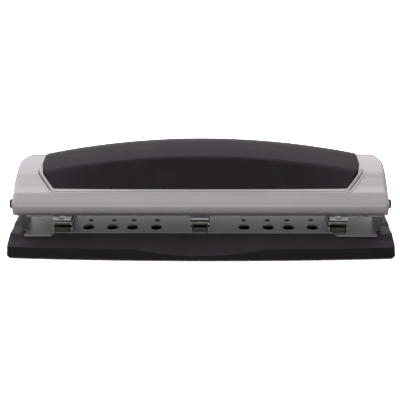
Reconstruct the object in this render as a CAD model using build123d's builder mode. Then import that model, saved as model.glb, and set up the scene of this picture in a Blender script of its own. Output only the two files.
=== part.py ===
from build123d import *
import math
import os

os.makedirs("parts", exist_ok=True)

# Desktop three-hole paper punch, in millimetres.
# X runs along the punch, +Y is the back, +Z is up.
# The origin is on the table, at the centre of the base's footprint.

# Deck and base
deck_top = 16.0  # top of the steel deck above the table
sheet = 1.3  # deck sheet thickness
deck_front = -38.0  # front edge of the deck, middle stretch
tab_front = -43.0  # front edge of the deck's two end tabs
deck_back = 41.0
left_step = -115.0  # where the left end tab begins
right_step = 105.0  # where the right end tab begins
ear_inner = 140.0  # inner face of each upright ear, clears an 11 in sheet edge
ear_outer = ear_inner + sheet
base_half = 151.6
base_wall = 2.2
base_back = 56.0
foot_gap = 1.0
scoop_radius = 360.0  # finger scoop in the front of the base

# Hole pattern
head_pitch = 107.95  # 4-1/4 in between punched holes
spare_columns = (34.925, 53.975, 69.85, 88.9)
punch_row = -28.0  # centre line of the punched holes
nib_row = -15.0  # centre line of the locating holes

# Lever
pivot_y = -43.5
pivot_z = 43.0
nose_radius = 8.5
shell_crown = ((-36.2, 54.0), (-20, 61.2), (-3, 63.7), (14, 61.4), (31, 55), (45.5, 43.5))
shell_half = 144.3
shell_wall = 1.6
end_wall = 2.1
lever_travel = 17.0  # degrees
pin_radius = 1.9
pivot_eye = 4.2  # rounded end of each ear and bar flange
stop_reach = 20.0  # pivot axis to stop pin
bar_under = pivot_z - 3.0  # underside of the press bar's web
bar_sheet = 1.4
grip_half = 124.0
grip_arc = 613.0  # radius of the grip's arched top

# Rear hinge between base and deck
hinge_y = 47.0
hinge_z = 13.8
knuckle_radius = 2.2
knuckle_x = 74.0
knuckle_length = 23.4

# Punch heads
head_half = 7.6
head_front = deck_front + 0.2
jaw_top = 4.2  # all head heights are measured above the deck
slot_top = 5.9
frame_top = 8.6
strap_bottom = 10.3
strap_top = 12.3
punch_radius = 3.57  # 9/32 in punch
ring_bottom = 21.2
ring_top = 22.0
pin_dome = 4.0

heads = {"left": -head_pitch, "centre": 0.0, "right": head_pitch}
ends = {"left": -1.0, "right": 1.0}
bar_screw_spots = [(-125, -24), (-54, -24), (54, -24), (125, -24)]
grip_screw_spots = [(-90, -4), (-40, -4), (40, -4), (90, -4)]


def tray_outline(half, front_end, front_mid, back, corner):
    """Plan outline of the tray at one height, with a bowed front."""
    with BuildSketch() as outline:
        with BuildLine():
            front = ThreePointArc((-half, front_end), (0, front_mid), (half, front_end))
            Polyline(front @ 1, (half, back), (-half, back), front @ 0)
        make_face()
        fillet(outline.vertices(), corner)
    return outline.sketch


def shell_outline():
    """Side outline of the lever shell."""
    with BuildSketch() as outline:
        with BuildLine():
            nose = CenterArc((pivot_y, pivot_z), nose_radius, 255, -91.5)
            top = Spline(nose @ 1, *shell_crown)
            Line(top @ 1, nose @ 0)
        make_face()
    return outline.sketch


def shell_hollow():
    """Side outline of the space inside the shell, open below."""
    with BuildLine() as skin:
        crown = Spline((-51.6, 45.4), *shell_crown)
    inside = []
    for step in range(9):
        place = 0.05 + 0.95 * step / 8
        along = crown % place
        inside.append(crown @ place + Vector(along.Y, -along.X) * shell_wall)
    with BuildSketch() as outline:
        with BuildLine():
            nose = CenterArc((pivot_y, pivot_z), nose_radius - shell_wall, 270, -98)
            top = Spline(*inside)
            Line(nose @ 1, top @ 0)
            Polyline(top @ 1, ((top @ 1).X, 25), (pivot_y, 25), nose @ 0)
        make_face()
    return outline.sketch


def grip_section(station, inset):
    """Cross-section of the grip at one distance from the middle."""
    drop = grip_arc - math.sqrt(grip_arc**2 - station**2)
    with BuildSketch() as section:
        with BuildLine():
            Polyline(
                (-37.7, 43.5), (-37.7, 52.6), (-25, 74.5 - drop), (-8, 78 - drop), (5, 78.6 - drop),
                (24, 72 - drop), (32, 54 - drop / 3), (32, 43.5), close=True,
            )
        make_face()
        if inset:
            offset(amount=-inset)
    return section.sketch


def both_ends(distance):
    """Mirrored pair of positions along X."""
    return [(-distance, 0, 0), (distance, 0, 0)]


# ---------------------------------------------------------------- base

with BuildPart() as tray_space:
    with BuildSketch(Plane.XY.offset(3.4)):
        add(tray_outline(base_half - base_wall, -48.6, -52.9, base_back - base_wall, 4))
    with BuildSketch(Plane.XY.offset(8)):
        add(tray_outline(base_half - base_wall - 0.8, -45, -48.6, base_back - base_wall - 0.5, 4))
    with BuildSketch(Plane.XY.offset(17)):
        add(tray_outline(base_half - base_wall - 1.9, -35.6, -36.0, base_back - base_wall - 1.5, 4))
    loft(ruled=True)
    # Thick front wall behind the finger scoop
    with Locations((0, -46, 10)):
        Box(124, 20, 20, mode=Mode.SUBTRACT)
    # Ledges that carry the ends of the deck
    with Locations(*both_ends(146)):
        Box(15, 120, 80, mode=Mode.SUBTRACT)
    # Shelf across the back, which carries the hinge blocks
    with Locations((0, 50, 17)):
        Box(300, 17.2, 7.4, mode=Mode.SUBTRACT)

with BuildPart() as base_tray:
    with BuildSketch(Plane.XY.offset(foot_gap)):
        add(tray_outline(base_half, -51.5, -56, base_back, 6))
    with BuildSketch(Plane.XY.offset(8)):
        add(tray_outline(base_half - 0.8, -48.6, -52.2, base_back - 0.5, 6))
    with BuildSketch(Plane.XY.offset(deck_top)):
        add(tray_outline(base_half - 1.9, -37.8, -38.2, base_back - 1.5, 5))
    loft(ruled=True)
    add(tray_space.part, mode=Mode.SUBTRACT)
    # Seat for the deck
    with Locations((0, (deck_back + 0.4 - 60) / 2, deck_top - sheet + 10)):
        Box(2 * ear_outer + 0.8, deck_back + 60.4, 20, mode=Mode.SUBTRACT)
    # Moulding pockets under the two thick ends
    with Locations(*both_ends(146)):
        Box(5.6, 76, 24, mode=Mode.SUBTRACT)
    # Finger scoop in the middle of the front
    with BuildSketch(Plane(origin=(0, -52, 4.2), x_dir=(1, 0, 0), z_dir=(0, -1, -0.87))):
        with Locations((0, scoop_radius)):
            Circle(scoop_radius)
    extrude(amount=20, both=True, mode=Mode.SUBTRACT)
    # Pads and pockets for the rubber feet
    with Locations(*[(x, y, 3) for x in (-128, 128) for y in (-38, 42)]):
        Cylinder(8, 2.2, align=(Align.CENTER, Align.CENTER, Align.MIN))
    with Locations(*[(x, y, 0) for x in (-128, 128) for y in (-38, 42)]):
        Cylinder(6.1, 3, align=(Align.CENTER, Align.CENTER, Align.MIN), mode=Mode.SUBTRACT)
    # Openings in the shelf for the two hinge knuckles, with a solid block each side
    with Locations(*[(x, 46.8, 12.7) for x in (-knuckle_x, knuckle_x)]):
        Box(knuckle_length + 10, 10.6, 6, mode=Mode.ADD)
    with Locations(*[(x, 46.1, 12.4) for x in (-knuckle_x, knuckle_x)]):
        Box(knuckle_length + 0.6, 10, 8, mode=Mode.SUBTRACT)
    with Locations(*[Location((x, hinge_y, hinge_z), (0, 90, 0)) for x in (-knuckle_x, knuckle_x)]):
        Cylinder(1.0, knuckle_length + 8, mode=Mode.SUBTRACT)
base_tray.part.label = "base_tray"
export_step(base_tray.part, "parts/base_tray.step")

with BuildPart() as rubber_feet:
    with Locations(*[(x, y, 0) for x in (-128, 128) for y in (-38, 42)]):
        Cylinder(6.0, 3, align=(Align.CENTER, Align.CENTER, Align.MIN))
    chamfer(rubber_feet.faces().sort_by(Axis.Z)[:4].edges(), 0.4)
rubber_feet.part.label = "rubber_feet"
export_step(rubber_feet.part, "parts/rubber_feet.step")

with BuildPart() as hinge_rods:
    with Locations(*[Location((x, hinge_y, hinge_z), (0, 90, 0)) for x in (-knuckle_x, knuckle_x)]):
        Cylinder(1.0, knuckle_length + 8)
hinge_rods.part.label = "hinge_rods"
export_step(hinge_rods.part, "parts/hinge_rods.step")

# ---------------------------------------------------------------- deck

columns = [0.0, head_pitch, -head_pitch]
columns += [side * x for x in spare_columns for side in (-1, 1)]

with BuildPart() as deck_plate:
    with BuildSketch(Plane.XY.offset(deck_top - sheet)) as deck_sketch:
        with BuildLine():
            Polyline(
                (-137.4, tab_front), (left_step - 1.5, tab_front), (left_step + 1.5, deck_front),
                (right_step - 1.5, deck_front), (right_step + 1.5, tab_front), (137.4, tab_front),
                (137.4, -33), (ear_outer, -33), (ear_outer, deck_back), (-ear_outer, deck_back),
                (-ear_outer, -33), (-137.4, -33), close=True,
            )
        make_face()
        with Locations(*[(x, punch_row) for x in columns]):
            Circle(4.5, mode=Mode.SUBTRACT)
        with Locations(*[(x, nib_row) for x in columns]):
            Circle(1.9, mode=Mode.SUBTRACT)
    extrude(amount=sheet)
    rims = deck_plate.faces().sort_by(Axis.Z)[-1].edges().filter_by(GeomType.CIRCLE)
    chamfer(rims, 0.35)
    front_edges = deck_plate.faces().sort_by(Axis.Z)[-1].edges().filter_by(Axis.X)
    fillet(front_edges.filter_by(lambda edge: edge.center().Y < -36), 0.6)
    # Upright ears that carry the lever
    with BuildSketch(Plane.YZ.offset(ear_inner)):
        with BuildLine():
            Polyline(
                (-33, deck_top - sheet), (-39, 33), (-41, pivot_z - 4), (pivot_y, pivot_z - 4),
                (pivot_y, pivot_z + pivot_eye), (-22, 47.2), (-14, 43.5), (-4, deck_top - sheet), close=True,
            )
        make_face()
        with Locations((pivot_y, pivot_z)):
            Circle(pivot_eye)
            Circle(pin_radius, mode=Mode.SUBTRACT)
        with BuildLine(mode=Mode.PRIVATE) as stop_path:
            CenterArc((pivot_y, pivot_z), stop_reach, 0.3, -(lever_travel + 0.6))
        SlotArc(stop_path.wire(), 3.3, mode=Mode.SUBTRACT)
    ear = extrude(amount=sheet)
    mirror(ear, about=Plane.YZ)
    # Rolled hinge knuckles at the back
    with Locations(*[Location((x, hinge_y, hinge_z), (0, 90, 0)) for x in (-knuckle_x, knuckle_x)]):
        Cylinder(knuckle_radius, knuckle_length)
    with Locations(*[(x, (deck_back + hinge_y) / 2 - 1, deck_top - sheet / 2) for x in (-knuckle_x, knuckle_x)]):
        Box(knuckle_length, hinge_y - deck_back + 2, sheet)
    with Locations(*[Location((x, hinge_y, hinge_z), (0, 90, 0)) for x in (-knuckle_x, knuckle_x)]):
        Cylinder(1.04, knuckle_length + 2, mode=Mode.SUBTRACT)
deck_plate.part.label = "deck_plate"
export_step(deck_plate.part, "parts/deck_plate.step")

# ---------------------------------------------------------------- pivots

for end, side in ends.items():
    with BuildPart(Plane(origin=(side * 136.6, pivot_y, pivot_z), z_dir=(side, 0, 0))) as pivot_pin:
        Cylinder(pin_radius, 8.3, align=(Align.CENTER, Align.CENTER, Align.MIN))
        chamfer(pivot_pin.edges().filter_by(GeomType.CIRCLE), 0.3)
    pivot_pin.part.label = f"{end}_pivot_pin"
    export_step(pivot_pin.part, f"parts/{end}_pivot_pin.step")

    with BuildPart(Plane(origin=(side * (shell_half + 0.1), pivot_y, pivot_z), z_dir=(side, 0, 0))) as pivot_cap:
        Cylinder(3.65, 1.1, align=(Align.CENTER, Align.CENTER, Align.MIN))
        fillet(pivot_cap.edges().filter_by(GeomType.CIRCLE).sort_by(Axis.X)[-1 if side > 0 else 0], 0.8)
        Cylinder(pin_radius, 0.55, align=(Align.CENTER, Align.CENTER, Align.MIN), mode=Mode.SUBTRACT)
    pivot_cap.part.label = f"{end}_pivot_cap"
    export_step(pivot_cap.part, f"parts/{end}_pivot_cap.step")

with BuildPart() as push_nuts:
    with Locations(*[Location((side * 137.7, pivot_y, pivot_z), (0, 90, 0)) for side in (-1, 1)]):
        Cylinder(3.6, 0.8)
        Cylinder(pin_radius, 2, mode=Mode.SUBTRACT)
push_nuts.part.label = "pivot_push_nuts"
export_step(push_nuts.part, "parts/pivot_push_nuts.step")

# ---------------------------------------------------------------- lever

with BuildPart() as shell_block:
    with BuildSketch(Plane.YZ):
        add(shell_outline())
    extrude(amount=shell_half, both=True)

with BuildPart() as shell_space:
    with BuildSketch(Plane.YZ):
        add(shell_hollow())
    extrude(amount=shell_half - end_wall, both=True)

with BuildPart() as shell_bosses:
    with Locations(*[(x, y, bar_under + bar_sheet) for x, y in bar_screw_spots]):
        Cylinder(4, 15, align=(Align.CENTER, Align.CENTER, Align.MIN))
    with Locations(*[(x, y, 60) for x, y in grip_screw_spots]):
        Cylinder(4, 2.5, align=(Align.CENTER, Align.CENTER, Align.MIN))

with BuildPart() as lever_shell:
    add(shell_block.part)
    end_faces = lever_shell.faces().filter_by(Axis.X)
    end_edges = end_faces.edges().filter_by(lambda edge: edge.geom_type != GeomType.LINE)
    fillet(end_edges, 4)
    add(shell_space.part, mode=Mode.SUBTRACT)
    add(shell_bosses.part)
    with Locations(*[(x, y, bar_under) for x, y in bar_screw_spots]):
        Cylinder(1.5, 12, align=(Align.CENTER, Align.CENTER, Align.MIN), mode=Mode.SUBTRACT)
    with Locations(*[(x, y, 50) for x, y in grip_screw_spots]):
        Cylinder(1.8, 30, align=(Align.CENTER, Align.CENTER, Align.MIN), mode=Mode.SUBTRACT)
    with Locations(*[Location((x, pivot_y, pivot_z), (0, 90, 0)) for x in (-shell_half, shell_half)]):
        Cylinder(pin_radius + 0.05, 10, mode=Mode.SUBTRACT)
lever_shell.part.label = "lever_shell"
export_step(lever_shell.part, "parts/lever_shell.step")

stations = (-grip_half, -85, -42, 0, 42, 85, grip_half)

with BuildPart() as grip_space:
    for station in stations:
        with BuildSketch(Plane.YZ.offset(station * 0.98)):
            add(grip_section(station, 2.6))
    loft()
    with Locations(*[(x, y, 50) for x, y in grip_screw_spots]):
        Cylinder(4.5, 40, align=(Align.CENTER, Align.CENTER, Align.MIN), mode=Mode.SUBTRACT)

with BuildPart() as grip:
    for station in stations:
        with BuildSketch(Plane.YZ.offset(station)):
            add(grip_section(station, 0))
    loft()
    with BuildSketch(Plane.XY) as grip_plan:
        with BuildLine():
            Polyline(
                (-110.6, -37.7), (110.6, -37.7), (122, -22.5), (grip_half, -12), (grip_half, 24),
                (114, 32), (-114, 32), (-grip_half, 24), (-grip_half, -12), (-122, -22.5), close=True,
            )
        make_face()
        fillet(grip_plan.vertices(), 4)
    extrude(amount=90, mode=Mode.INTERSECT)
    add(grip_space.part, mode=Mode.SUBTRACT)
    add(shell_block.part, mode=Mode.SUBTRACT)
    with Locations(*[(x, y, 60) for x, y in grip_screw_spots]):
        Cylinder(1.5, 10.5, align=(Align.CENTER, Align.CENTER, Align.MIN), mode=Mode.SUBTRACT)
grip.part.label = "grip"
export_step(grip.part, "parts/grip.step")

with BuildPart() as grip_screws:
    with Locations(*[(x, y, 58) for x, y in grip_screw_spots]):
        Cylinder(3, 2, align=(Align.CENTER, Align.CENTER, Align.MIN))
        Cylinder(1.48, 11, align=(Align.CENTER, Align.CENTER, Align.MIN))
grip_screws.part.label = "grip_screws"
export_step(grip_screws.part, "parts/grip_screws.step")

with BuildPart() as press_bar:
    with BuildSketch(Plane.YZ.offset(-(ear_inner - 0.4))):
        with BuildLine():
            Polyline(
                (-38.8, bar_under), (-12, bar_under), (-12, 52), (-12 - bar_sheet, 52),
                (-12 - bar_sheet, bar_under + bar_sheet), (-38.8 + bar_sheet, bar_under + bar_sheet),
                (-38.8 + bar_sheet, 47), (-38.8, 47), close=True,
            )
        make_face()
    extrude(amount=2 * (ear_inner - 0.4))
    with BuildSketch(Plane.YZ.offset(ear_inner - 0.4 - sheet)):
        with BuildLine():
            Polyline((-44.5, bar_under), (-12, bar_under), (-12, 52), (-24, 52), (pivot_y, 47), close=True)
        make_face()
        with Locations((pivot_y, pivot_z)):
            Circle(pivot_eye)
            Circle(pin_radius + 0.05, mode=Mode.SUBTRACT)
        with Locations((pivot_y + stop_reach, pivot_z)):
            Circle(1.5, mode=Mode.SUBTRACT)
    flange = extrude(amount=sheet)
    mirror(flange, about=Plane.YZ)
    with Locations(*[(x, y, bar_under) for x, y in bar_screw_spots]):
        Cylinder(1.7, 6, mode=Mode.SUBTRACT)
press_bar.part.label = "press_bar"
export_step(press_bar.part, "parts/press_bar.step")

with BuildPart() as bar_screws:
    with Locations(*[(x, y, bar_under - 2) for x, y in bar_screw_spots]):
        Cylinder(3, 2, align=(Align.CENTER, Align.CENTER, Align.MIN))
        Cylinder(1.48, 13, align=(Align.CENTER, Align.CENTER, Align.MIN))
bar_screws.part.label = "bar_screws"
export_step(bar_screws.part, "parts/bar_screws.step")

with BuildPart() as stop_pins:
    with Locations(*[Location((x, pivot_y + stop_reach, pivot_z), (0, 90, 0)) for x in (-139.4, 139.4)]):
        Cylinder(1.5, 3.6)
stop_pins.part.label = "stop_pins"
export_step(stop_pins.part, "parts/stop_pins.step")

# ---------------------------------------------------------------- punch heads

for name, head_x in heads.items():
    floor = Plane(origin=(head_x, 0, deck_top))

    with BuildPart(floor) as die_block:
        with BuildSketch(Plane.YZ.offset(head_x - 5.5)):
            with BuildLine():
                Polyline(
                    (head_front, deck_top + 0.02), (-12.6, deck_top + 0.02), (-12.6, deck_top + 7.3),
                    (-17, deck_top + 7.3), (-17, deck_top + jaw_top), (head_front, deck_top + jaw_top),
                    close=True,
                )
            make_face()
        extrude(amount=11)
        with Locations((0, punch_row, -sheet)):
            Cylinder(4.44, sheet + 1, align=(Align.CENTER, Align.CENTER, Align.MIN))
        with Locations((0, punch_row, -sheet - 1)):
            Cylinder(punch_radius + 0.03, 8, align=(Align.CENTER, Align.CENTER, Align.MIN), mode=Mode.SUBTRACT)
        with Locations((0, nib_row, 0)):
            Cylinder(1.6, 3, align=(Align.CENTER, Align.CENTER, Align.MIN), mode=Mode.SUBTRACT)
    die_block.part.label = f"{name}_die_block"
    export_step(die_block.part, f"parts/{name}_die_block.step")

    with BuildPart(floor) as locating_nib:
        with Locations((0, nib_row, -sheet - 0.7)):
            Cylinder(1.6, sheet + 3.6, align=(Align.CENTER, Align.CENTER, Align.MIN))
        chamfer(locating_nib.edges().sort_by(Axis.Z)[0], 0.5)
    locating_nib.part.label = f"{name}_locating_nib"
    export_step(locating_nib.part, f"parts/{name}_locating_nib.step")

    with BuildPart(floor) as head_frame:
        with BuildSketch(Plane.XZ.offset(-head_front - 0.6)):
            with Locations((head_x, deck_top + frame_top / 2 + 0.01)):
                Rectangle(2 * head_half, frame_top - 0.02)
            with Locations((head_x, deck_top + (frame_top - 1.1) / 2)):
                Rectangle(2 * head_half - 2.4, frame_top - 1.1, mode=Mode.SUBTRACT)
        extrude(amount=-25)
        with Locations((0, (head_front - 17) / 2 - 2, (jaw_top + slot_top) / 2)):
            Box(20, -17 - head_front + 4, slot_top - jaw_top, mode=Mode.SUBTRACT)
        with Locations((0, punch_row, 8)):
            Cylinder(punch_radius + 0.15, 4, mode=Mode.SUBTRACT)
        top_front = head_frame.edges().filter_by(Axis.X).sort_by(Axis.Z)[-2:].sort_by(Axis.Y)[0]
        fillet(top_front, 0.4)
    head_frame.part.label = f"{name}_head_frame"
    export_step(head_frame.part, f"parts/{name}_head_frame.step")

    with BuildPart(floor) as punch_guide:
        with Locations((0, (head_front + 0.8 - 17.4) / 2, (slot_top + frame_top - 1.1) / 2)):
            Box(11, -17.4 - head_front - 0.8, frame_top - 1.1 - slot_top)
        with Locations((0, punch_row, 7)):
            Cylinder(punch_radius + 0.03, 6, mode=Mode.SUBTRACT)
    punch_guide.part.label = f"{name}_punch_guide"
    export_step(punch_guide.part, f"parts/{name}_punch_guide.step")

    with BuildPart(floor) as top_strap:
        with BuildSketch(Plane.YZ.offset(head_x - 7)):
            with BuildLine():
                Polyline(
                    (head_front, deck_top + strap_bottom), (-17, deck_top + strap_bottom),
                    (-17, deck_top + frame_top), (-13, deck_top + frame_top),
                    (-13, deck_top + strap_top), (head_front, deck_top + strap_top), close=True,
                )
            make_face()
        extrude(amount=14)
        front_lines = top_strap.edges().filter_by(Axis.X).group_by(Axis.Y)[0]
        fillet(front_lines, 0.7)
        if name != "centre":
            # Upturned front lip with a notch over the punch
            with Locations((0, head_front + 1.2, strap_top - 0.9)):
                Box(14, 1.2, 3.2)
            with Locations((0, head_front + 1, strap_top + 1)):
                Cylinder(2.8, 6, rotation=(90, 0, 0), mode=Mode.SUBTRACT)
        with Locations((0, punch_row, 11)):
            Cylinder(punch_radius + 0.03, 8, mode=Mode.SUBTRACT)
    top_strap.part.label = f"{name}_top_strap"
    export_step(top_strap.part, f"parts/{name}_top_strap.step")

    with BuildPart(floor) as punch_pin:
        pin_top = bar_under - deck_top - 0.02
        # Turned outline with a groove for the retaining ring and a domed top
        groove = (ring_bottom - 0.02, ring_top + 0.02)
        cap_radius = math.sqrt(pin_dome**2 - (groove[1] - pin_top + pin_dome) ** 2)
        with BuildSketch(Plane(origin=(head_x, punch_row, deck_top), x_dir=(1, 0, 0), z_dir=(0, -1, 0))):
            with BuildLine():
                side_line = Polyline(
                    (0, slot_top + 0.2), (punch_radius, slot_top + 0.2), (punch_radius, groove[0]),
                    (punch_radius - 0.6, groove[0]), (punch_radius - 0.6, groove[1]), (cap_radius, groove[1]),
                )
                dome = RadiusArc(side_line @ 1, (0, pin_top), -pin_dome)
                Line(dome @ 1, side_line @ 0)
            make_face()
        revolve(axis=Axis((head_x, punch_row, 0), (0, 0, 1)))
        # Hollow-ground cutting tip
        with Locations(Location((0, punch_row, slot_top - 1.4), (90, 90, 0))):
            Cylinder(3.2, 12, mode=Mode.SUBTRACT)
    punch_pin.part.label = f"{name}_punch_pin"
    export_step(punch_pin.part, f"parts/{name}_punch_pin.step")

    with BuildPart(floor) as retaining_ring:
        with Locations((0, punch_row, ring_bottom)):
            Cylinder(5.0, ring_top - ring_bottom, align=(Align.CENTER, Align.CENTER, Align.MIN))
            Cylinder(punch_radius - 0.6, 2, align=(Align.CENTER, Align.CENTER, Align.MIN), mode=Mode.SUBTRACT)
        with Locations((0, punch_row - 4, ring_bottom)):
            Box(4.2, 6, 4, mode=Mode.SUBTRACT)
    retaining_ring.part.label = f"{name}_retaining_ring"
    export_step(retaining_ring.part, f"parts/{name}_retaining_ring.step")

    with BuildPart(floor) as return_spring:
        coil_height = ring_bottom - strap_top - 0.84
        with BuildLine(Plane(origin=(head_x, punch_row, deck_top + strap_top + 0.42))) as coil:
            Helix(coil_height / 3.5, coil_height, 4.3)
        with BuildSketch(Plane(origin=coil.line @ 0, z_dir=coil.line % 0)):
            Circle(0.4)
        sweep()
    return_spring.part.label = f"{name}_return_spring"
    export_step(return_spring.part, f"parts/{name}_return_spring.step")
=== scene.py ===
import bisect
import math

import bmesh
import bpy
from mathutils import Matrix, Vector


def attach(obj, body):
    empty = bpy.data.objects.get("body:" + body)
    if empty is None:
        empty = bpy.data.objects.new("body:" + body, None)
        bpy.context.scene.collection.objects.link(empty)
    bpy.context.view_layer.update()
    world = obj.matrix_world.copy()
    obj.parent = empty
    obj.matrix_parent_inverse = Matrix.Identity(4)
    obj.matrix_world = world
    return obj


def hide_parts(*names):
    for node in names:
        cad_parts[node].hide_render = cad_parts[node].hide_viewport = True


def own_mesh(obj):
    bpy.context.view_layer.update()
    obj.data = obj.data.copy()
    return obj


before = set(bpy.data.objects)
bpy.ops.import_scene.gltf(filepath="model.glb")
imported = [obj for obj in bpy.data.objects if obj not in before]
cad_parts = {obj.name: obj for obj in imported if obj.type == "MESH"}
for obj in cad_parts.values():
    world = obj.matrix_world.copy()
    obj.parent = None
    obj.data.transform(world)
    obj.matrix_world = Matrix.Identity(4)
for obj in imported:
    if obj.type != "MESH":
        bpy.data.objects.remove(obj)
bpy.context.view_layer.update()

# Lengths are in millimetres until new_object scales them: X along the punch, +Y back, +Z up.
MM = 0.001
HEADS = (("left", -107.95), ("centre", 0), ("right", 107.95))
HEAD_Y = -28


# ------------------------------------------------------------------ helpers

def smooth_path(points, per_span):
    """Catmull-Rom curve through 2-D points."""
    pts = [tuple(2 * a - b for a, b in zip(points[0], points[1]))] + list(points)
    pts.append(tuple(2 * a - b for a, b in zip(points[-1], points[-2])))
    out = []
    for i in range(1, len(pts) - 2):
        p0, p1, p2, p3 = pts[i - 1:i + 3]
        for k in range(per_span):
            t = k / per_span
            out.append(tuple(
                0.5 * (2 * b + (c - a) * t + (2 * a - 5 * b + 4 * c - d) * t * t
                       + (3 * b - a - 3 * c + d) * t ** 3)
                for a, b, c, d in zip(p0, p1, p2, p3)
            ))
    out.append(tuple(points[-1]))
    return out


def resample(path, spacing):
    """Walks a 2-D path with a step that depends on where it is."""
    out, left = [path[0]], 0.0
    for (ax, ay), (bx, by) in zip(path, path[1:]):
        length = math.hypot(bx - ax, by - ay)
        at = 0.0
        while True:
            step = spacing(ax + (bx - ax) * at / max(length, 1e-9)) - left
            if at + step > length:
                left += length - at
                break
            at += step
            left = 0.0
            out.append((ax + (bx - ax) * at / length, ay + (by - ay) * at / length))
    if math.dist(out[-1], path[-1]) < 0.2:
        out.pop()
    out.append(path[-1])
    return out


def normals_2d(path):
    """Unit normals on the left of a 2-D path."""
    out = []
    for i in range(len(path)):
        a, b = path[max(i - 1, 0)], path[min(i + 1, len(path) - 1)]
        dx, dy = b[0] - a[0], b[1] - a[1]
        length = math.hypot(dx, dy) or 1.0
        out.append((-dy / length, dx / length))
    return out


def lookup(path, x):
    """Second coordinate of a path at its first coordinate x."""
    keys = [p[0] for p in path]
    i = min(max(bisect.bisect(keys, x), 1), len(path) - 1)
    (ax, ay), (bx, by) = path[i - 1], path[i]
    return ay + (by - ay) * (x - ax) / (bx - ax)


def soft_min(a, b, k):
    """Smaller of two values, with their meeting point rounded over a width k."""
    h = max(k - abs(a - b), 0.0) / k
    return min(a, b) - h * h * k / 4


def soft_max(a, b, k):
    return -soft_min(-a, -b, k)


def ramp(a, b, x):
    """Smooth step from 0 at a to 1 at b."""
    t = min(max((x - a) / (b - a), 0.0), 1.0)
    return t * t * (3 - 2 * t)


def new_object(name, bm, angle=35):
    """A mesh object from a bmesh given in millimetres."""
    bmesh.ops.scale(bm, vec=(MM, MM, MM), verts=bm.verts)
    bmesh.ops.recalc_face_normals(bm, faces=bm.faces)
    if max(bm.faces, key=lambda f: f.calc_center_median().z).normal.z < 0:
        bmesh.ops.reverse_faces(bm, faces=bm.faces)
    mesh = bpy.data.meshes.new(name)
    bm.to_mesh(mesh)
    bm.free()
    obj = bpy.data.objects.new(name, mesh)
    bpy.context.scene.collection.objects.link(obj)
    mesh.polygons.foreach_set("use_smooth", [True] * len(mesh.polygons))
    mesh.set_sharp_from_angle(angle=math.radians(angle))
    return obj


def grid(bm, rows, closed=False):
    """Quads between rows of points; returns the rows of vertices."""
    made = [[bm.verts.new(p) for p in row] for row in rows]
    for a, b in zip(made, made[1:]):
        n = len(a)
        for i in range(n if closed else n - 1):
            j = (i + 1) % n
            bm.faces.new((a[i], a[j], b[j], b[i]))
    return made


# ------------------------------------------------------------------ materials

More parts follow.
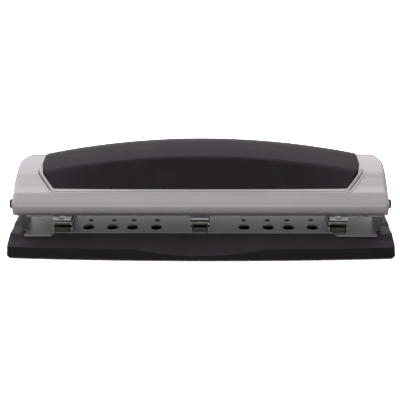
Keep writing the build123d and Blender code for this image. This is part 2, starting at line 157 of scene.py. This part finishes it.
def material(name, color, rough, metal=0.0, grain=900.0, bump=0.15, mottle=0.06, spread=0.06,
             stretch=(1, 1, 1), wear_and_edge_light=0.0, wear_and_edge_light_color=(0.8, 0.8, 0.8), coat=0.0, specular=0.5, cells=0.0,
             dust=0.0, top=None):
    """Procedural surface: colour drift, grain, roughness drift, edges lightened partly as wear and partly as
    a painted highlight, and a fine bump.

    top is a lighter colour painted on faces that look up, painted light for the light from above; dust a film
    in patches, cells a pebbled bump.
    """
    mat = bpy.data.materials.new(name)
    mat.use_nodes = True
    tree = mat.node_tree
    node, link = tree.nodes.new, tree.links.new
    shader = tree.nodes["Principled BSDF"]
    coords = node("ShaderNodeTexCoord")
    place = node("ShaderNodeMapping")
    place.inputs["Scale"].default_value = stretch
    link(coords.outputs["Object"], place.inputs["Vector"])

    def noise(scale, detail=3.0, mapped=True):
        n = node("ShaderNodeTexNoise")
        n.inputs["Scale"].default_value = scale
        n.inputs["Detail"].default_value = detail
        link(place.outputs["Vector"] if mapped else coords.outputs["Object"], n.inputs["Vector"])
        return n.outputs["Fac"]

    def remap(value, low, high):
        m = node("ShaderNodeMapRange")
        m.inputs["From Min"].default_value, m.inputs["From Max"].default_value = 0.3, 0.7
        m.inputs["To Min"].default_value, m.inputs["To Max"].default_value = low, high
        link(value, m.inputs["Value"])
        return m.outputs["Result"]

    def mix(factor, a, b, kind="MIX"):
        m = node("ShaderNodeMix")
        m.data_type, m.blend_type = "RGBA", kind
        for socket, value in ((m.inputs[0], factor), (m.inputs[6], a), (m.inputs[7], b)):
            if isinstance(value, bpy.types.NodeSocket):
                link(value, socket)
            else:
                socket.default_value = value
        return m.outputs[2]

    drift = noise(28, 4, False)
    fine = noise(grain)
    tone = remap(drift, 1 - mottle, 1 + mottle)
    speck = remap(fine, 1 - mottle * 0.7, 1 + mottle * 0.7)
    product = node("ShaderNodeMath")
    product.operation = "MULTIPLY"
    link(tone, product.inputs[0])
    link(speck, product.inputs[1])
    base = mix(1.0, (*color, 1), product.outputs[0], "MULTIPLY")
    if dust:
        film = node("ShaderNodeMapRange")
        film.inputs["From Min"].default_value, film.inputs["From Max"].default_value = 0.5, 0.75
        film.inputs["To Max"].default_value = dust
        link(noise(60, 6, False), film.inputs["Value"])
        base = mix(film.outputs["Result"], base, (0.35, 0.34, 0.33, 1))
    # Painted light: faces that look up take the lighter top colour, a painted highlight for the light from
    # above.
    if top:
        facing = node("ShaderNodeNewGeometry")
        split = node("ShaderNodeSeparateXYZ")
        link(facing.outputs["Normal"], split.inputs[0])
        painted_top_light = node("ShaderNodeMapRange")
        painted_top_light.inputs["From Min"].default_value, painted_top_light.inputs["From Max"].default_value = 0.6, 0.9
        link(split.outputs["Z"], painted_top_light.inputs["Value"])
        base = mix(painted_top_light.outputs["Result"], base, mix(1.0, (*top, 1), product.outputs[0], "MULTIPLY"))
        shader.inputs["Specular Tint"].default_value = (1, 0.86, 1, 1)
    # Edges lightened through a scratchy noise: partly wear, partly a painted highlight along the edges.
    if wear_and_edge_light:
        edge = node("ShaderNodeNewGeometry")
        cut = node("ShaderNodeMapRange")
        cut.inputs["From Min"].default_value, cut.inputs["From Max"].default_value = 0.53, 0.62
        cut.inputs["To Max"].default_value = wear_and_edge_light
        link(edge.outputs["Pointiness"], cut.inputs["Value"])
        worn_and_lit_edge = node("ShaderNodeMath")
        worn_and_lit_edge.operation = "MULTIPLY"
        link(cut.outputs["Result"], worn_and_lit_edge.inputs[0])
        link(remap(noise(220, 5, False), 0.2, 1.0), worn_and_lit_edge.inputs[1])
        base = mix(worn_and_lit_edge.outputs[0], base, (*wear_and_edge_light_color, 1))
    link(base, shader.inputs["Base Color"])
    link(remap(fine if metal else drift, rough - spread, rough + spread), shader.inputs["Roughness"])
    shader.inputs["Metallic"].default_value = metal
    shader.inputs["Specular IOR Level"].default_value = specular
    shader.inputs["Coat Weight"].default_value = coat
    shader.inputs["Coat Roughness"].default_value = 0.25
    height = fine
    if cells:
        v = node("ShaderNodeTexVoronoi")
        v.inputs["Scale"].default_value = cells
        link(coords.outputs["Object"], v.inputs["Vector"])
        height = v.outputs["Distance"]
    b = node("ShaderNodeBump")
    b.inputs["Strength"].default_value = bump
    b.inputs["Distance"].default_value = 0.0002
    link(height, b.inputs["Height"])
    link(b.outputs["Normal"], shader.inputs["Normal"])
    return mat


# The edge colours given here lighten edges: partly wear, partly a painted edge highlight.
silver = material("silver_paint", (0.60, 0.57, 0.59), 0.38, 0.75, grain=2600, bump=0.05, mottle=0.03,
                  spread=0.04, wear_and_edge_light=0.25, wear_and_edge_light_color=(0.75, 0.74, 0.74), coat=0.15)
# The grip's and the tray's top colours are painted light: they make faces that look up lighter.
grip_mat = material("soft_grip", (0.0115, 0.0092, 0.012), 0.56, grain=1800, bump=0.2, mottle=0.12,
                    spread=0.06, cells=1500, wear_and_edge_light=0.15, wear_and_edge_light_color=(0.06, 0.06, 0.06), dust=0.01,
                    specular=0.3, top=(0.03, 0.024, 0.03))
tray_mat = material("moulded_black", (0.0085, 0.007, 0.009), 0.42, grain=1500, bump=0.2, mottle=0.12,
                    spread=0.07, cells=1900, wear_and_edge_light=0.35, wear_and_edge_light_color=(0.10, 0.10, 0.10), dust=0.01,
                    specular=0.2, top=(0.044, 0.037, 0.044))
deck_mat = material("deck_paint", (0.31, 0.292, 0.306), 0.36, 0.5, grain=2200, bump=0.06, mottle=0.05,
                    spread=0.05, coat=0.1)
# The straps' plating is painted near-white and partly diffuse: a painted highlight for the light the straps
# catch; the frame keeps the plain plating below.
lit_plate_mat = material("plating_with_painted_highlight", (1.0, 0.98, 0.97), 0.26, 0.3, grain=900, bump=0.04, mottle=0.05,
                     spread=0.05, stretch=(0.05, 1, 1))
frame_mat = material("nickel_plate", (0.50, 0.48, 0.455), 0.22, 1.0, grain=900, bump=0.04, mottle=0.06,
                     spread=0.05, stretch=(0.05, 1, 1))
die_mat = material("dark_tool_steel", (0.13, 0.12, 0.105), 0.34, 1.0, grain=700, bump=0.06, mottle=0.1,
                   stretch=(0.05, 1, 1))
punch_mat = material("ground_punch", (0.66, 0.65, 0.64), 0.24, 1.0, grain=1400, bump=0.05, mottle=0.05,
                     stretch=(1, 1, 0.08))
bright_mat = material("drawn_steel", (0.62, 0.62, 0.62), 0.28, 1.0, grain=900, bump=0.05, mottle=0.06,
                      stretch=(0.1, 1, 1))
zinc_mat = material("zinc_plate", (0.56, 0.57, 0.60), 0.38, 1.0, grain=300, bump=0.06, mottle=0.12, cells=260)
spring_mat = material("spring_wire", (0.33, 0.33, 0.34), 0.33, 1.0, grain=1500, bump=0.05, mottle=0.08)
cap_mat = material("cap_plastic", (0.022, 0.021, 0.022), 0.30, grain=1200, bump=0.08, mottle=0.1, coat=0.2)
foot_mat = material("foot_rubber", (0.028, 0.027, 0.026), 0.85, grain=700, bump=0.4, mottle=0.2, dust=0.2)


def dress(obj, mat, body=None):
    """Gives an object its material; a new piece also gets its body."""
    obj.data.materials.clear()
    obj.data.materials.append(mat)
    if body:
        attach(obj, body)


def soften(obj, width, segments=2, angle=40):
    """Rounds a carried-over node's edges with modifiers only."""
    weld = obj.modifiers.new("weld", "WELD")
    weld.merge_threshold = 1e-6
    bevel = obj.modifiers.new("bevel", "BEVEL")
    bevel.width = width * MM
    bevel.segments = segments
    bevel.limit_method = "ANGLE"
    bevel.angle_limit = math.radians(angle)
    bevel.harden_normals = True
    bevel.miter_outer = "MITER_ARC"


# ------------------------------------------------------------------ lever shell

# Circles of the nose and of the lip below it, as (y, z, radius)
NOSE = (-43.02, 42.84, 9.0)
LIP = (-46.65, 37.73, 3.0)
SHELL_HALF = 144.4
SHELL_WALL = 1.3
# Corner radii where the top turns down into the ends, at the front and at the back
FRONT_RADIUS = 4
BACK_RADIUS = 6
CROWN = smooth_path((
    (-51.65, 45.4), (-50.9, 46.5), (-49.7, 47.45), (-48, 48.7), (-46, 50.1), (-44.4, 51.25), (-43.2, 51.95),
    (-42, 52.4), (-40.4, 52.9), (-36.6, 54.2), (-29, 57.6), (-20, 61.2), (-3, 63.7), (14, 61.4), (31, 55),
    (45.5, 43.5),
), 14)

# Plan outline of the grip
GRIP_HALF = 125.2
GRIP_FRONT = -38.7
GRIP_BACK = 32
GRIP_EDGE = (
    (-109.6, GRIP_FRONT), (109.6, GRIP_FRONT), (112.6, -37.6), (123.2, -22.5),
    (GRIP_HALF, -12), (GRIP_HALF, 24), (120, GRIP_BACK), (-120, GRIP_BACK),
    (-GRIP_HALF, 24), (-GRIP_HALF, -12), (-123.2, -22.5), (-112.6, -37.6),
)


def edge_distance(x, y):
    """Signed distance to the grip's plan outline, positive outside."""
    inside, nearest = True, 1e9
    for (ax, ay), (bx, by) in zip(GRIP_EDGE, GRIP_EDGE[1:] + GRIP_EDGE[:1]):
        dx, dy = bx - ax, by - ay
        length = math.hypot(dx, dy)
        if ((x - ax) * dy - (y - ay) * dx) > 0:
            inside = False
        t = min(max(((x - ax) * dx + (y - ay) * dy) / length ** 2, 0.0), 1.0)
        nearest = min(nearest, math.hypot(x - ax - t * dx, y - ay - t * dy))
    return -nearest if inside else nearest


def pocket(x, y):
    """How far the shell's surface sinks around the grip; it fades out along the grip's sides."""
    d = edge_distance(x, y)
    along_front = 1 - 0.85 * ramp(-24, -16, y)
    floor = 0.8 * (1 - ramp(2.7, 3.3, d)) * (1 - 0.9 * ramp(-24, -16, y))
    groove = 1.4 * math.exp(-((d - 2.6) / 0.4) ** 2) * along_front
    rim = 0.42 * math.exp(-((d - 4.4) / 1.0) ** 2) * along_front
    return floor + groove - rim


def arc_points(circle, start, sweep, count):
    """Points on a circle given as (y, z, radius), turning backwards by sweep degrees."""
    out = []
    for k in range(count + 1):
        a = math.radians(start - sweep * k / count)
        out.append((circle[0] + circle[2] * math.cos(a), circle[1] + circle[2] * math.sin(a)))
    return out


def end_inset(x, radius):
    """How far a rounded end draws the surface in at x."""
    over = max(abs(x) - (SHELL_HALF - radius), 0.0)
    return radius - math.sqrt(max(radius ** 2 - over ** 2, 0.0))


def flare(y, z):
    """How much the ends stand out from SHELL_HALF: out at the back, in at the nose's lower edge."""
    return 0.8 * ramp(-30, 0, y) - 0.9 * ramp(-28, -40, y) - 1.2 * ramp(42, 35, z) * ramp(-30, -36, y)


def build_shell():
    nose = arc_points(LIP, 262, 44, 5) + arc_points(NOSE, 218, 54.5, 10)
    crown = resample(CROWN, lambda y: 0.45 if -44 < y < -10 else (0.6 if 26 < y < 38 else 1.6))
    profile = nose + crown[1:]
    flat = len(nose)
    normal = normals_2d(profile)
    stations = [0, 25, 50, 75, 95, 106]
    at = 109.0
    while at < 132:
        stations.append(at)
        at += 0.6
    stations += [133.5, 135.5, 137.2]
    stations += [SHELL_HALF - BACK_RADIUS + BACK_RADIUS * math.sin(math.radians(a)) for a in range(0, 91, 6)]
    stations = [-s for s in stations[:0:-1]] + stations
    low = profile[0]
    slope = Vector((profile[-1][0] - low[0], profile[-1][1] - low[1])).normalized()
    rows = []
    for x in stations:
        inset = end_inset(x, FRONT_RADIUS)
        row = [(x, low[0] + slope.x * inset, low[1] + slope.y * inset)]
        for i, ((y, z), (ny, nz)) in enumerate(zip(profile, normal)):
            sink = end_inset(x, FRONT_RADIUS + (BACK_RADIUS - FRONT_RADIUS) * ramp(-10, 14, y))
            if i > flat and abs(x) < 134 and -46 < y < 40:
                sink += pocket(x, y)
            wide = x + flare(y, z) * ramp(120, SHELL_HALF, abs(x)) * (1 if x > 0 else -1)
            y, z = y - ny * sink, z - nz * sink
            if y > 0:  # the sunk ends stay above the lower edge, clear of the tray at full press
                z = max(z, low[1] + (y - low[0]) * slope.y / slope.x)
            row.append((wide, y, z))
        tail = profile[-1]
        inset = end_inset(x, BACK_RADIUS)
        row.append((x, tail[0] - slope.x * inset, tail[1] - slope.y * inset))
        rows.append(row)
    bm = bmesh.new()
    made = grid(bm, rows)
    for row in (made[0], made[-1]):
        bm.faces.new(row)
    bmesh.ops.remove_doubles(bm, verts=bm.verts, dist=0.004)
    shell = new_object("lever_shell_skin", bm, 40)
    wall = shell.modifiers.new("wall", "SOLIDIFY")
    wall.thickness = SHELL_WALL * MM
    wall.offset = -1
    return shell


shell = build_shell()
dress(shell, silver, "lever")
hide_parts("lever_shell")


# ------------------------------------------------------------------ grip

def build_grip():
    # The top's side profile, lowered towards the ends along an arc of this radius
    crest = smooth_path(((-40, 70.0), (-25, 74.4), (-8, 77.7), (5, 78.3), (24, 72), (38, 62.5)), 12)
    arch = 613.0
    columns = [0, 12, 24, 36, 48, 60, 72, 84, 92, 98, 102, 105, 107]
    at = 108.4
    while at < 123.2:
        columns.append(at)
        at += 0.8
    columns += [123.7, 124.2, 124.6, 124.9, 125.08, GRIP_HALF]
    columns = [-c for c in columns[:0:-1]] + columns
    steps = [0, 0.12, 0.3, 0.55, 0.9, 1.4, 2.1, 3.0]
    count = 58
    rows, under = [], []
    for x in columns:
        a = abs(x)
        drop = arch - math.sqrt(arch ** 2 - x * x)
        front = soft_max(GRIP_FRONT, -22.5 + (a - 123.2) * 1.43, 2.5)
        front = soft_max(front, -12 + (a - GRIP_HALF) * 5.25, 3)
        back = soft_min(GRIP_BACK, 24 - (a - GRIP_HALF) * 1.54, 3)
        span = [front + s for s in steps]
        first, last = front + steps[-1], back - steps[-1]
        span += [first + (last - first) * k / count for k in range(1, count)]
        span += [back - s for s in reversed(steps)]
        row = []
        for y in span:
            shell_z = lookup(CROWN, y)
            d = max(-edge_distance(x, y), 0.0)
            facet = 52 + (y - GRIP_FRONT) * (74.4 - drop - 52) / 13.7
            top = soft_min(facet, lookup(crest, y) - drop, 1.6)
            tail = 54 - drop / 3 + (GRIP_BACK - y) * (18 - drop * 2 / 3) / 8
            top = soft_min(top, tail, 5)
            rise = 1.5 * (1 - math.exp(-d / 0.45)) + 4.5 * d - 0.7
            row.append((x, y, shell_z + soft_min(top - shell_z, rise, 1.0)))
        rows.append(row)
        under.append([(x, y, lookup(CROWN, y) - 1.0) for y in span])
    bm = bmesh.new()
    top = grid(bm, rows)
    low = grid(bm, under)
    for a, b in ((top[0], low[0]), (top[-1], low[-1]), ([r[0] for r in top], [r[0] for r in low]),
                 ([r[-1] for r in top], [r[-1] for r in low])):
        for i in range(len(a) - 1):
            bm.faces.new((a[i], a[i + 1], b[i + 1], b[i]))
    return new_object("grip_pad", bm, 50)


grip = build_grip()
dress(grip, grip_mat, "lever")
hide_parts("grip")


# ------------------------------------------------------------------ base tray

def plan_ring(half, front_end, front_mid, back, corner):
    """Closed plan outline with a bowed front, as (x, y) points."""
    pts = []

    def arc(cx, cy, a0, a1, n=14):
        for k in range(n + 1):
            a = math.radians(a0 + (a1 - a0) * k / n)
            pts.append((cx + corner * math.cos(a), cy + corner * math.sin(a)))

    n = 100
    inner = half - corner
    for k in range(n + 1):
        x = -inner + 2 * inner * k / n
        pts.append((x, front_mid + (front_end - front_mid) * (x / half) ** 2))
    shift = (front_end - front_mid) * (inner / half) ** 2 + front_mid
    arc(inner, shift + corner, -90, 0)
    for k in range(1, 60):
        pts.append((half, shift + corner + (back - shift - 2 * corner) * k / 60))
    arc(inner, back - corner, 0, 90)
    for k in range(1, 30):
        pts.append((inner - 2 * inner * k / 30, back))
    arc(-inner, back - corner, 90, 180)
    for k in range(1, 60):
        pts.append((-half, back - corner - (back - shift - 2 * corner) * k / 60))
    arc(-inner, shift + corner, 180, 270)
    return pts


# The finger scoop lowers the crease in the tray's front between these half widths and heights
SCOOP = 50.0
SCOOP_DEPTH = 4.6
FRONT_Y = -57
FRONT_FOOT = 1.4
FRONT_CREASE = 9.1
FRONT_RIM = 13.7
FRONT_LEAN = 0.325


def scooped(x, z):
    """Tray front where the finger scoop lowers its crease, as (y, z)."""
    crease = FRONT_CREASE - SCOOP_DEPTH * (1 - (x / SCOOP) ** 2)
    bow = 4.7 * (x / 151) ** 2
    if z <= FRONT_CREASE:
        z = FRONT_FOOT + (z - FRONT_FOOT) * (crease - FRONT_FOOT) / 7.7
        return bow + FRONT_Y + (z - FRONT_FOOT) * FRONT_LEAN, z
    t = (z - FRONT_CREASE) / 4.6
    y = FRONT_Y + (crease - FRONT_FOOT) * FRONT_LEAN
    return bow * (1 - t) + y + (-41.4 - y) * t, crease + (FRONT_RIM - crease) * t


def build_tray():
    # half width, front at ends, front in middle, back, corner, height at front, height at sides and back
    levels = [
        (149.9, -50.6, -55.2, 54.2, 4.5, 0.6, 0.6),
        (151.2, -51.9, -56.5, 55.5, 5.4, 0.75, 0.75),
        (151.6, -52.3, -57.0, 56.0, 5.8, 1.4, 1.4),
        (151.4, -51.4, -56.2, 55.8, 5.8, 4.0, 4.5),
        (151.2, -50.6, -55.2, 55.6, 5.7, 7.4, 8.5),
        (151.0, -49.9, -54.5, 55.5, 5.6, 9.1, 10.5),
        (150.8, -48.2, -52.2, 55.4, 5.6, 10.0, 12.5),
        (150.6, -45.6, -48.6, 55.2, 5.5, 11.3, 13.9),
        (150.4, -42.5, -44.1, 55.0, 5.4, 12.5, 15.0),
        (150.1, -40.7, -41.4, 54.8, 5.2, 13.7, 15.7),
        (149.7, -39.7, -40.2, 54.5, 5.0, 14.3, 15.97),
        (149.0, -39.2, -39.5, 53.7, 4.6, 14.5, 16.0),
        (142.6, -38.7, -38.8, 41.9, 3.2, 14.6, 15.98),
        (141.9, -38.5, -38.5, 41.5, 2.8, 14.6, 15.6),
        (141.7, -38.4, -38.4, 41.4, 2.6, 14.5, 14.68),
        (138.2, -37.0, -37.0, 41.3, 2.5, 14.45, 14.62),
        (138.0, -36.6, -36.6, 41.2, 2.5, 14.0, 14.2),
        (137.6, -36.2, -36.2, 40.8, 2.5, 4.6, 4.6),
        (136.6, -35.2, -35.2, 39.8, 2.0, 3.5, 3.5),
    ]
    rows = []
    for half, end, mid, back, corner, z_front, z_side in levels:
        row = []
        for x, y in plan_ring(half, end, mid, back, corner):
            z = z_front + (z_side - z_front) * (0.3 * ramp(-46, -36, y) + 0.7 * ramp(-23.5, -20.5, y))
            if y < -36 and (-112.5 < x < 102.5 or abs(x) > 138.5):
                z += 0.55 * ramp(12.0, 14.3, z_front) * (1 if half > 142 else 0)
            if FRONT_FOOT < z < FRONT_RIM and half > 144.5 and y < -38 and abs(x) < SCOOP:
                y, z = scooped(x, z)
            row.append((x, y, z))
        rows.append(row)
    bm = bmesh.new()
    made = grid(bm, rows, closed=True)
    bm.faces.new(made[0])
    bm.faces.new(made[-1])
    return new_object("tray_body", bm, 32)


def cut_boxes(obj, boxes):
    """Cuts box-shaped openings and keeps the plain mesh that results."""
    bm = bmesh.new()
    for cx, cy, cz, sx, sy, sz in boxes:
        made = bmesh.ops.create_cube(bm, size=1.0)["verts"]
        bmesh.ops.scale(bm, vec=(sx, sy, sz), verts=made)
        bmesh.ops.translate(bm, vec=(cx, cy, cz), verts=made)
    tool = new_object("opening_tool", bm)
    cut = obj.modifiers.new("cut", "BOOLEAN")
    cut.operation, cut.object, cut.solver = "DIFFERENCE", tool, "EXACT"
    evaluated = obj.evaluated_get(bpy.context.evaluated_depsgraph_get())
    mesh = bpy.data.meshes.new_from_object(evaluated)
    obj.modifiers.clear()
    obj.data = mesh
    bpy.data.objects.remove(tool)


HINGE_X = (-74, 74)
tray = build_tray()
dress(tray, tray_mat, "base")
cut_boxes(tray, [(x, 46.1, 12.4, 24.0, 10.0, 8.2) for x in HINGE_X])
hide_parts("base_tray")

bm = bmesh.new()
for x in HINGE_X:
    for side in (-1, 1):
        made = bmesh.ops.create_cube(bm, size=1.0)["verts"]
        bmesh.ops.scale(bm, vec=(4.2, 8.6, 5.6), verts=made)
        bmesh.ops.translate(bm, vec=(x + side * 14.15, 46.9, 12.9), verts=made)
bosses = new_object("tray_hinge_blocks", bm)
soften(bosses, 0.5, 3)
dress(bosses, tray_mat, "base")

# ------------------------------------------------------------------ carried-over nodes

# Material and edge rounding of each node; a turned part keeps its own edges
looks = {
    "deck_plate": (deck_mat, 0.5), "rubber_feet": (foot_mat, 0.3), "hinge_rods": (bright_mat, 0.15),
    "press_bar": (zinc_mat, 0.3), "bar_screws": (zinc_mat, 0.25), "grip_screws": (zinc_mat, 0.25),
    "stop_pins": (bright_mat, 0.2), "pivot_push_nuts": (spring_mat, 0.15),
}
for end in ("left", "right"):
    looks[end + "_pivot_pin"] = (bright_mat, 0.0)
    looks[end + "_pivot_cap"] = (cap_mat, 0.0)
for head, _ in HEADS:
    looks[head + "_die_block"] = (die_mat, 0.25)
    looks[head + "_locating_nib"] = (bright_mat, 0.1)
    looks[head + "_head_frame"] = (frame_mat, 0.3)
    looks[head + "_punch_guide"] = (die_mat, 0.2)
    # The straps take the plating painted near-white, a painted highlight.
    looks[head + "_top_strap"] = (lit_plate_mat, 0.6)
    looks[head + "_punch_pin"] = (punch_mat, 0.0)
    looks[head + "_retaining_ring"] = (spring_mat, 0.1)
for name, (mat, width) in looks.items():
    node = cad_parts[name]
    dress(node, mat)
    if width:
        soften(node, width)

# ------------------------------------------------------------------ return springs

SPRING_SEAT = 28.3
SPRING_TURNS = 5.5
COIL_RADIUS = 4.3
WIRE_RADIUS = 0.4
WIRE_SIDES = 10
STEPS_PER_TURN = 24


def coil_height(turn):
    """Height of a spring's wire above its seat, with one closed turn at each end."""
    if turn < 1:
        return 0.42 + 0.82 * turn
    if turn < 4.5:
        return 1.24 + 6.42 * (turn - 1) / 3.5
    return 7.66 + 0.82 * (turn - 4.5)


def build_spring(name, x):
    rings = []
    for k in range(int(SPRING_TURNS * STEPS_PER_TURN) + 1):
        a = 2 * math.pi * k / STEPS_PER_TURN
        out = Vector((math.cos(a), math.sin(a), 0))
        middle = Vector((x, HEAD_Y, SPRING_SEAT + coil_height(k / STEPS_PER_TURN))) + out * COIL_RADIUS
        ring = []
        for j in range(WIRE_SIDES):
            b = 2 * math.pi * j / WIRE_SIDES
            ring.append(middle + out * WIRE_RADIUS * math.cos(b) + Vector((0, 0, WIRE_RADIUS * math.sin(b))))
        rings.append(ring)
    bm = bmesh.new()
    made = grid(bm, rings, closed=True)
    bm.faces.new(made[0])
    bm.faces.new(made[-1])
    return new_object(name, bm, 50)


for head, x in HEADS:
    spring = build_spring(head + "_coil", x)
    dress(spring, spring_mat, "frame")
    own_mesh(spring)
    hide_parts(head + "_return_spring")

# ------------------------------------------------------------------ floor, light, camera

def mix_shaders(tree, factor, first, second):
    """Mix Shader output: first where factor is 0, second where it is 1."""
    node = tree.nodes.new("ShaderNodeMixShader")
    for socket, source in zip(node.inputs, (factor, first, second)):
        tree.links.new(source, socket)
    return node.outputs[0]


FLOOR_HALF = 4000
bm = bmesh.new()
corners = ((-1, -1), (1, -1), (1, 1), (-1, 1))
bm.faces.new([bm.verts.new((x * FLOOR_HALF, y * FLOOR_HALF, 0)) for x, y in corners])
floor = new_object("floor", bm)

# White to the camera, grey in reflections, dark to bounced light, and clear when seen from below
paper = material("paper_floor", (0.08, 0.08, 0.08), 0.9, grain=400, bump=0.02, mottle=0.01)
tree = paper.node_tree
sight = tree.nodes.new("ShaderNodeLightPath")
to_camera = tree.nodes.new("ShaderNodeBsdfDiffuse")
to_camera.inputs["Color"].default_value = (3, 3, 3, 1)
mirrored = tree.nodes.new("ShaderNodeBsdfDiffuse")
mirrored.inputs["Color"].default_value = (0.42, 0.41, 0.42, 1)
below = tree.nodes.new("ShaderNodeNewGeometry")
clear = tree.nodes.new("ShaderNodeBsdfTransparent")
surface = mix_shaders(tree, sight.outputs["Is Glossy Ray"], tree.nodes["Principled BSDF"].outputs[0],
                      mirrored.outputs[0])
surface = mix_shaders(tree, sight.outputs["Is Camera Ray"], surface, to_camera.outputs[0])
surface = mix_shaders(tree, below.outputs["Backfacing"], surface, clear.outputs[0])
tree.links.new(surface, tree.nodes["Material Output"].inputs["Surface"])
floor.data.materials.append(paper)

# A room that is bright above and behind, and dim towards the camera; the camera itself sees plain white
world = bpy.data.worlds.new("studio")
bpy.context.scene.world = world
world.use_nodes = True
nodes, links = world.node_tree.nodes, world.node_tree.links
coords = nodes.new("ShaderNodeTexCoord")
toward = nodes.new("ShaderNodeVectorMath")
toward.operation = "DOT_PRODUCT"
toward.inputs[1].default_value = Vector((-0.26, 0.86, 0.44)).normalized()
links.new(coords.outputs["Generated"], toward.inputs[0])
rise = nodes.new("ShaderNodeMapRange")
rise.inputs["From Min"].default_value, rise.inputs["From Max"].default_value = -1.0, 1.0
links.new(toward.outputs["Value"], rise.inputs["Value"])
fade = nodes.new("ShaderNodeValToRGB")
links.new(rise.outputs["Result"], fade.inputs["Fac"])
ROOM = (
    (0.0, 0.2), (0.10, 0.25), (0.42, 0.42), (0.56, 0.52), (0.70, 0.42), (0.77, 0.5), (0.86, 1.0), (1.0, 1.0),
)
for at, level in ROOM:
    stop = fade.color_ramp.elements[0] if at == 0 else fade.color_ramp.elements.new(at)
    stop.position, stop.color = at, (level, level, level, 1)
fade.color_ramp.elements.remove(fade.color_ramp.elements[-1])
glow = nodes.new("ShaderNodeMath")
glow.operation = "MULTIPLY"
glow.inputs[1].default_value = 1.12
links.new(fade.outputs["Color"], glow.inputs[0])
background = nodes["Background"]
background.inputs["Color"].default_value = (0.97, 0.96, 0.98, 1)
links.new(glow.outputs[0], background.inputs["Strength"])
seen = nodes.new("ShaderNodeBackground")
seen.inputs["Color"].default_value = (1, 1, 1, 1)
path = nodes.new("ShaderNodeLightPath")
sky = mix_shaders(world.node_tree, path.outputs["Is Camera Ray"], background.outputs[0], seen.outputs[0])
links.new(sky, nodes["World Output"].inputs["Surface"])


def area(name, place, aim, size, power, glossy=True):
    """Rectangular light, in metres and watts, that can be left out of reflections."""
    light = bpy.data.lights.new(name, "AREA")
    light.shape = "RECTANGLE"
    light.size, light.size_y = size
    light.energy = power
    lamp = bpy.data.objects.new(name, light)
    bpy.context.scene.collection.objects.link(lamp)
    lamp.location = place
    lamp.rotation_mode = "QUATERNION"
    lamp.rotation_quaternion = (Vector(aim) - Vector(place)).to_track_quat("-Z", "Y")
    lamp.visible_glossy = glossy


area("front_top", (-0.35, -0.6, 1.3), (0, -0.03, 0.02), (1.6, 0.9), 6, glossy=False)
area("front_fill", (-0.1, -1.1, 0.3), (0, -0.03, 0.02), (1.5, 0.36), 1.5)

# The photograph's view: angles, distance, point looked at, and focal length in pixels of a 400-pixel frame
AZIMUTH, ELEVATION, ROLL = math.radians(1.5), math.radians(23.453), math.radians(-0.59)
DISTANCE = 0.6754
TARGET = Vector((-0.0007, 0, 0.02722))
FOCAL_PIXELS, FRAME_PIXELS = 822.9, 400
SENSOR = 36

camera = bpy.data.objects.new("camera", bpy.data.cameras.new("camera"))
bpy.context.scene.collection.objects.link(camera)
bpy.context.scene.camera = camera
right = Vector((math.cos(AZIMUTH), math.sin(AZIMUTH), 0))
back = Vector((
    math.sin(AZIMUTH) * math.cos(ELEVATION),
    -math.cos(AZIMUTH) * math.cos(ELEVATION),
    math.sin(ELEVATION),
))
up = back.cross(right)
side = right * math.cos(ROLL) + up * math.sin(ROLL)
camera.location = TARGET + back * DISTANCE
camera.rotation_mode = "QUATERNION"
camera.rotation_quaternion = Matrix((side, back.cross(side), back)).transposed().to_quaternion()
camera.data.sensor_width = SENSOR
camera.data.lens = FOCAL_PIXELS / FRAME_PIXELS * SENSOR
camera.data.clip_start = 0.01
camera.data.clip_end = 20

bpy.context.scene.view_settings.view_transform = "Standard"
